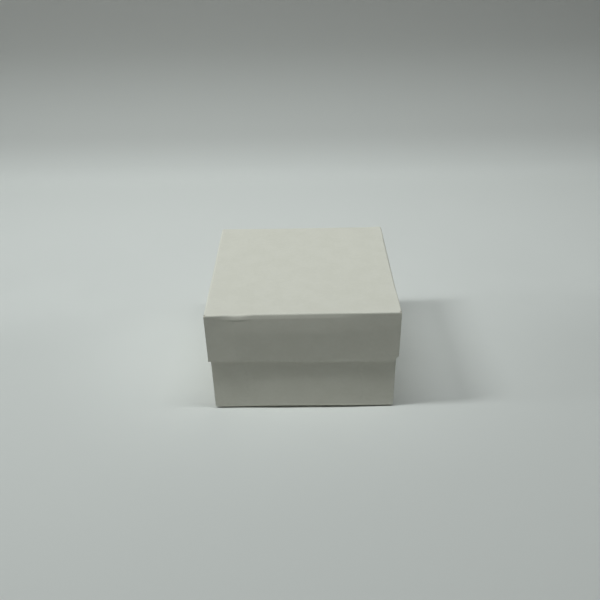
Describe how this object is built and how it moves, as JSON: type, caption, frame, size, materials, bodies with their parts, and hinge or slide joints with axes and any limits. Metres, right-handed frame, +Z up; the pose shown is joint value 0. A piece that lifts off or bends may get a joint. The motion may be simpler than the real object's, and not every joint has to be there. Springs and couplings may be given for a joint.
{
  "type": "paper box",
  "caption": "Small square two-piece gift box folded from plain off-white card: an open tray and a lid whose skirt slides down over its upper half.",
  "frame": {"origin": "middle of the tray's underside, on the surface it stands on", "axes": "+Z up along the way the lid lifts off, +X to the right and +Y to the back seen from the front; the walls with the glue tabs behind them are the front and back ones"},
  "size_m": [0.082, 0.082, 0.0509],
  "materials": {
    "tray_card": "matte uncoated",
    "lid_card": "matte uncoated"
  },
  "bodies": {
    "tray": {"base_tray": "tray_card"},
    "lid": {"lid": "lid_card"}
  },
  "joints": [
    {"name": "lid_lift", "type": "slide", "parent": "tray", "child": "lid", "axis": [0, 0, 1], "range_m": [0, 0.06]}
  ]
}
